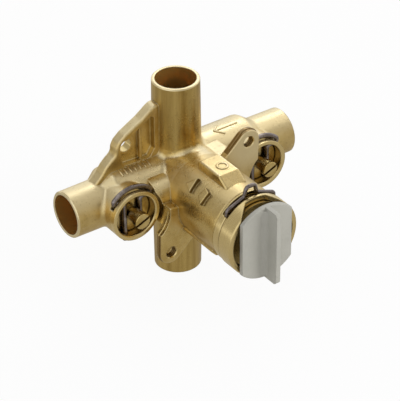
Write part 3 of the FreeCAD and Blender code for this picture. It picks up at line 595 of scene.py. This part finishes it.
def spring_wire():
    """Dark drawn wire, rubbed brighter where it bears, with a painted highlight on its edges."""
    material, tree, shader, place = new_finish("spring_wire", 1.0)
    drawn = noise(tree, place, 4200.0, 3.0, 0.7)
    edge = use(tree, worn_edge, Place=place, Radius=0.15 * MM, Broken=700.0)
    smudge = use(tree, handling, Place=place, Size=260.0)["Smudge"]
    rubbed = times(tree, stretch(tree, smudge, 0.55, 1.0), 0.55)
    tone = blend_colours(tree, calc(tree, "MAXIMUM", rubbed, edge["Mask"]), WIRE, WIRE_WORN_AND_LIT)
    rough = stretch(tree, smudge, 0.0, 1.0, 0.18, 0.34)
    finish_with(tree, shader, tone, rough, bump(tree, drawn, edge["Normal"], 0.010 * MM, 0.6))
    return material


def moulded(name, colour, pale, rough, grain, depth, drift):
    """Moulded plastic or rubber: fine texture, slight flow marks, paler edges, partly rubbed and partly a painted
    highlight.
    """
    material, tree, shader, place = new_finish(name, 0.0, IOR=1.5)
    texture = noise(tree, place, grain, 4.0, 0.65)
    edge = use(tree, worn_edge, Place=place, Radius=0.45 * MM, Broken=500.0)
    smudge = use(tree, handling, Place=place, Size=drift)["Smudge"]
    tone = layered(tree, colour, [(smudge, 0.4, pale), (edge["Mask"], 0.45, pale)])
    gloss = stretch(tree, smudge, 0.0, 1.0, *rough)
    finish_with(tree, shader, tone, gloss, bump(tree, texture, edge["Normal"], depth, 0.6))
    return material


finishes = {
    "cast_brass": cast_brass(),
    "machined_brass": turned_brass(),
    "spring_wire": spring_wire(),
    "grey_plastic": moulded("grey_plastic", CAP_GREY, CAP_PALE, rough=(0.36, 0.50),
                            grain=2600.0, depth=0.02 * MM, drift=60.0),
    "white_plastic": moulded("white_plastic", PLASTIC_WHITE, PLASTIC_CREAM, rough=(0.34, 0.46),
                             grain=3000.0, depth=0.015 * MM, drift=90.0),
    "black_rubber": moulded("black_rubber", RUBBER, RUBBER_DUSTY_AND_LIT, rough=(0.50, 0.68),
                            grain=3600.0, depth=0.02 * MM, drift=200.0),
}


def dress_nodes():
    """Give every solid of the frame the finish of its material slot."""
    for part in frame["record"]["subparts"]:
        piece = frame["nodes"][part["node"]]
        piece.data.materials.clear()
        piece.data.materials.append(finishes[part["material_slot"]])


# Pieces that follow a line or repeat

GEOMETRY, MATERIAL, COUNT = "NodeSocketGeometry", "NodeSocketMaterial", "NodeSocketInt"


def swept_round(tree, curve, radius, sides):
    """A bar along a curve, with its ends closed."""
    section = node_of(tree, "GeometryNodeCurvePrimitiveCircle")
    feed(tree, section.inputs["Resolution"], sides)
    feed(tree, section.inputs["Radius"], radius)
    swept = node_of(tree, "GeometryNodeCurveToMesh")
    feed(tree, swept.inputs["Curve"], curve)
    feed(tree, swept.inputs["Profile Curve"], section.outputs[0])
    swept.inputs["Fill Caps"].default_value = True
    return swept.outputs[0]


def close_tree(tree, geometry, finish, out):
    """Make the pieces of a tree real and give them their finish."""
    real = node_of(tree, "GeometryNodeRealizeInstances")
    feed(tree, real.inputs[0], geometry)
    painted = node_of(tree, "GeometryNodeSetMaterial")
    feed(tree, painted.inputs["Geometry"], real.outputs[0])
    feed(tree, painted.inputs["Material"], finish)
    feed(tree, out, painted.outputs[0])


def make_raised_line():
    """A rounded ridge along each line of the given mesh."""
    tree, given, out = new_group("raised_line", "GeometryNodeTree", [
        ("Lines", GEOMETRY, None), ("Radius", FLOAT, 0.0003), ("Sides", COUNT, 8),
        ("Finish", MATERIAL, None)], [("Ridges", GEOMETRY)])
    curve = node_of(tree, "GeometryNodeMeshToCurve")
    feed(tree, curve.inputs[0], given["Lines"])
    ridge = swept_round(tree, curve.outputs[0], given["Radius"], given["Sides"])
    close_tree(tree, ridge, given["Finish"], out[0])
    return tree


def make_thread():
    """A screw thread at each point of the given mesh: a helix whose inner edge is the thread's crest."""
    tree, given, out = new_group("screw_thread", "GeometryNodeTree", [
        ("Places", GEOMETRY, None), ("Radius", FLOAT, 0.002), ("Pitch", FLOAT, 0.0008),
        ("Length", FLOAT, 0.003), ("Ridge", FLOAT, 0.0003), ("Finish", MATERIAL, None)],
        [("Threads", GEOMETRY)])
    helix = node_of(tree, "GeometryNodeCurveSpiral")
    helix.inputs["Resolution"].default_value = 24
    feed(tree, helix.inputs["Rotations"], calc(tree, "DIVIDE", given["Length"], given["Pitch"]))
    feed(tree, helix.inputs["Start Radius"], given["Radius"])
    feed(tree, helix.inputs["End Radius"], given["Radius"])
    feed(tree, helix.inputs["Height"], given["Length"])
    spread = node_of(tree, "GeometryNodeInstanceOnPoints")
    feed(tree, spread.inputs["Points"], given["Places"])
    feed(tree, spread.inputs["Instance"], swept_round(tree, helix.outputs[0], given["Ridge"], 4))
    spread.inputs["Rotation"].default_value = (math.radians(-90), 0, 0)
    close_tree(tree, spread.outputs[0], given["Finish"], out[0])
    return tree


def grown(name, tree, lines, **values):
    """Run a tree on lines, given as lists of points, and keep the result as a plain mesh."""
    mesh = bpy.data.meshes.new(name)
    points, edges = [], []
    for line in lines:
        edges += [(len(points) + i, len(points) + i + 1) for i in range(len(line) - 1)]
        points += [tuple(point) for point in line]
    mesh.from_pydata(points, edges, [])
    piece = bpy.data.objects.new(name, mesh)
    bpy.context.scene.collection.objects.link(piece)
    grower = piece.modifiers.new("grow", "NODES")
    grower.node_group = tree
    for socket in tree.interface.items_tree:
        if socket.in_out == "INPUT" and socket.name in values:
            grower[socket.identifier] = values[socket.name]
    bpy.context.view_layer.update()
    shape = piece.evaluated_get(bpy.context.evaluated_depsgraph_get())
    solid = bpy.data.meshes.new_from_object(shape)
    piece.modifiers.remove(grower)
    piece.data = solid
    solid.name = name
    form = bmesh.new()
    form.from_mesh(solid)
    bmesh.ops.remove_doubles(form, verts=form.verts, dist=1e-7)
    bmesh.ops.recalc_face_normals(form, faces=form.faces)
    form.to_mesh(solid)
    form.free()
    for face in solid.polygons:
        face.use_smooth = True
    return piece


def spread_between(low, high, count):
    return [low + (high - low) * i / (count - 1) for i in range(count)]


def on_inlet(x, radius, turn):
    """A point on a round form along the inlet axis, turned from the front upwards."""
    return Vector((x, -radius * math.cos(turn), radius * math.sin(turn)))


def parting_lines():
    """Thin ridges where the mould halves met, along both inlet tubes, front and back."""
    sink = 0.14 * MM
    lines = []
    for side, turn_deg in ((-1, -11.0), (1, -21.0)):
        for turn in (math.radians(turn_deg), math.radians(180 - turn_deg)):
            run = spread_between(HUB_TAPER_X + 0.8 * MM, INLET_REACH - 2 * RIM, 9)
            lines.append([on_inlet(side * x, TUBE_ROOT_R - TUBE_DRAFT * x / INLET_REACH - sink, turn)
                          for x in run])
    return lines


def ear_holes(y):
    """Where the axes of the upper and the lower ear's screw holes cross the plane at y."""
    out = EAR_HOLE_FAR / math.sqrt(2)
    return [Vector((side * out, y, side * out)) for side in (1, -1)]


def ear_outlines():
    """The edge of each ear at half its thickness, read from the casting, without the screw hole."""
    form = bmesh.new()
    form.from_mesh(frame["nodes"]["valve_body"].data)
    bmesh.ops.remove_doubles(form, verts=form.verts, dist=1e-6)
    everything = form.verts[:] + form.edges[:] + form.faces[:]
    cut = bmesh.ops.bisect_plane(form, geom=everything, plane_co=(0, EAR_HOLE_Y, 0), plane_no=(0, 1, 0))
    points = [item.co.copy() for item in cut["geom_cut"] if isinstance(item, bmesh.types.BMVert)]
    form.free()
    lines = []
    for side, hole in zip((1, -1), ear_holes(EAR_HOLE_Y)):
        middle = hole * 0.75
        edge = [point for point in points if point.x * side > 0 and point.z * side > 0
                and math.hypot(point.x, point.z) > BARREL_R + EAR_ROOT
                and math.hypot(point.x - hole.x, point.z - hole.z) > EAR_HOLE_R + 1.0 * MM]
        outward = math.atan2(hole.z, hole.x)
        edge.sort(key=lambda point: (math.atan2(point.z - middle.z, point.x - middle.x) - outward
                                     + math.pi) % (2 * math.pi))
        lines.append([Vector((point.x, EAR_HOLE_Y, point.z)) for point in edge])
    return lines


def foundry_marks():
    """A tally of raised bars on the left hub, a flow arrow on the right one."""
    sink = 0.1 * MM
    bar_long, bar_turn = 4.4 * MM, math.radians(75)
    arrow_long, arrow_turn, arrow_x = 5.4 * MM, math.radians(84), 22.2 * MM

    def stroke(points, middle_x, middle_turn, size):
        """A line drawn on the hub, from points of (along, across) in parts of its size."""
        return [on_inlet(middle_x + a * size, HUB_R - sink, middle_turn + b * size / HUB_R)
                for a, b in points]

    bar = [(0, b) for b in spread_between(-0.5, 0.5, 5)]
    lines = [stroke(bar, x, bar_turn, bar_long) for x in spread_between(-28.0 * MM, -15.6 * MM, 7)]
    shaft = [(a, 0) for a in spread_between(-1.0, 1.0, 5)]
    heads = [[(-1.0 + 0.6 * t, side * 0.55 * t) for t in spread_between(0.0, 1.0, 5)] for side in (-1, 1)]
    lines += [stroke(points, arrow_x, arrow_turn, arrow_long) for points in [shaft] + heads]
    return lines


def add_raised_pieces():
    raised_line = make_raised_line()
    brass = finishes["cast_brass"]
    pieces = [
        grown("parting_ridges", raised_line, parting_lines(), Radius=0.24 * MM, Sides=10, Finish=brass),
        grown("ear_ridges", raised_line, ear_outlines(), Radius=0.3 * MM, Sides=10, Finish=brass),
        grown("foundry_marks", raised_line, foundry_marks(), Radius=0.48 * MM, Sides=10, Finish=brass),
    ]
    places = [[hole] for hole in ear_holes(EAR_HOLE_Y - EAR_THICK / 2 + 0.5 * MM)]
    pieces.append(grown("ear_threads", make_thread(), places, Radius=EAR_HOLE_R - 0.05 * MM,
                        Pitch=0.7 * MM, Length=EAR_THICK - 0.8 * MM, Ridge=0.28 * MM, Finish=brass))
    for piece in pieces:
        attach(piece, "body")


# Stage

def seen_rays(tree):
    """One for the rays that show the background itself: camera, glossy and transmission."""
    path = tree.nodes.new("ShaderNodeLightPath").outputs
    return largest(tree, [path["Is Camera Ray"], path["Is Glossy Ray"], path["Is Transmission Ray"]])


def add_world():
    """A white room that lights the part a little less than it shows."""
    world = bpy.data.worlds.new("white_room")
    bpy.context.scene.world = world
    world.use_nodes = True
    tree = world.node_tree
    background = tree.nodes["Background"]
    background.inputs["Color"].default_value = (1, 1, 1, 1)
    feed(tree, background.inputs["Strength"], blend_values(tree, seen_rays(tree), 0.7, 1.0))


def bare_material(name, mesh):
    """A material without a shader, on a mesh; returns its tree and its surface socket."""
    material = bpy.data.materials.new(name)
    material.use_nodes = True
    tree = material.node_tree
    tree.nodes.remove(tree.nodes["Principled BSDF"])
    mesh.materials.append(material)
    return tree, tree.nodes["Material Output"].inputs["Surface"]


def flat_sheet(name, width, height, z):
    """A level rectangle about the vertical axis."""
    mesh = bpy.data.meshes.new(name)
    w, h = width / 2, height / 2
    mesh.from_pydata([(-w, -h, z), (w, -h, z), (w, h, z), (-w, h, z)], [], [(0, 1, 2, 3)])
    return bpy.data.objects.new(name, mesh)


def add_floor():
    """A pale floor that looks white from above, keeps a faint shadow, and is clear from below."""
    floor = flat_sheet("floor", 6.0, 6.0, FLOOR_Z)
    bpy.context.scene.collection.objects.link(floor)
    tree, surface = bare_material("pale_floor", floor.data)
    paint = node_of(tree, "ShaderNodeBsdfDiffuse")
    paint.inputs["Color"].default_value = FLOOR_PAINT
    glow = node_of(tree, "ShaderNodeEmission")
    clear = node_of(tree, "ShaderNodeBsdfTransparent")
    pale = node_of(tree, "ShaderNodeMixShader")
    feed_in_order(tree, pale, (times(tree, seen_rays(tree), 0.93), paint.outputs[0], glow.outputs[0]))
    one_way = node_of(tree, "ShaderNodeMixShader")
    from_below = tree.nodes.new("ShaderNodeNewGeometry").outputs["Backfacing"]
    feed_in_order(tree, one_way, (from_below, pale.outputs[0], clear.outputs[0]))
    feed(tree, surface, one_way.outputs[0])


def direction(turn_deg, height_deg):
    """The way from the part towards a place that is turn round it and height above the level."""
    turn, height = math.radians(turn_deg), math.radians(height_deg)
    return Vector((math.sin(turn) * math.cos(height), -math.cos(turn) * math.cos(height), math.sin(height)))


def put_round_part(thing, turn, height, far):
    """Put a lamp or a card at its place round the part, turned to face it."""
    place = direction(turn, height) * far
    turned = place.normalized().to_track_quat("Z", "Y").to_matrix().to_4x4()
    thing.matrix_world = Matrix.Translation(place) @ turned
    bpy.context.scene.collection.objects.link(thing)


def add_lamp(name, turn, height, far, size, power, mirrored=True):
    """A round lamp; one that isn't mirrored leaves no shine on the brass."""
    light = bpy.data.lights.new(name, "AREA")
    light.shape = "DISK"
    light.size = size
    light.energy = power
    lamp = bpy.data.objects.new(name, light)
    lamp.visible_glossy = mirrored
    put_round_part(lamp, turn, height, far)


def add_card(name, turn, height, far, size, shade):
    """A grey card that only reflections see, as in a photographer's tent."""
    card = flat_sheet(name, *size, 0.0)
    put_round_part(card, turn, height, far)
    for ray in ("camera", "diffuse", "transmission", "shadow", "volume_scatter"):
        setattr(card, "visible_" + ray, False)
    tree, surface = bare_material(name, card.data)
    tone = node_of(tree, "ShaderNodeEmission")
    tone.inputs["Color"].default_value = (shade, shade * 0.95, shade * 0.85, 1)
    feed(tree, surface, tone.outputs[0])


def add_camera():
    turn, roll = math.radians(VIEW_TURN), math.radians(VIEW_ROLL)
    back = direction(VIEW_TURN, VIEW_HEIGHT)
    level = Vector((math.cos(turn), math.sin(turn), 0))
    rise = back.cross(level)
    right = level * math.cos(roll) + rise * math.sin(roll)
    up = rise * math.cos(roll) - level * math.sin(roll)
    data = bpy.data.cameras.new("camera")
    data.sensor_width = SENSOR_WIDTH
    data.lens = FOCAL_PIXELS * SENSOR_WIDTH / PHOTO_LONG_SIDE
    data.clip_start = 0.01
    camera = bpy.data.objects.new("camera", data)
    bpy.context.scene.collection.objects.link(camera)
    place = back * VIEW_DISTANCE + right * VIEW_RIGHT + up * VIEW_UP
    camera.matrix_world = Matrix.Translation(place) @ Matrix((right, up, back)).transposed().to_4x4()
    bpy.context.scene.camera = camera


def set_stage():
    add_camera()
    add_world()
    add_floor()
    add_lamp("key_lamp", turn=130, height=45, far=0.6, size=0.3, power=0.35)
    add_lamp("side_lamp", turn=28, height=25, far=0.8, size=0.45, power=2.0, mirrored=False)
    add_card("low_card", turn=0, height=-90, far=-FLOOR_Z - 0.4 * MM, size=(0.9, 0.9), shade=0.50)
    add_card("front_card", turn=25, height=20, far=0.6, size=(1.2, 0.7), shade=0.60)
    add_card("top_card", turn=40, height=72, far=0.6, size=(0.9, 0.65), shade=0.48)
    add_card("back_card", turn=-140, height=28, far=0.6, size=(0.6, 0.5), shade=0.48)
    add_card("window_card", turn=90, height=51, far=0.348, size=(0.26, 0.17), shade=1.15)
    bpy.context.scene.view_settings.view_transform = "Standard"


dress_nodes()
add_raised_pieces()
set_stage()
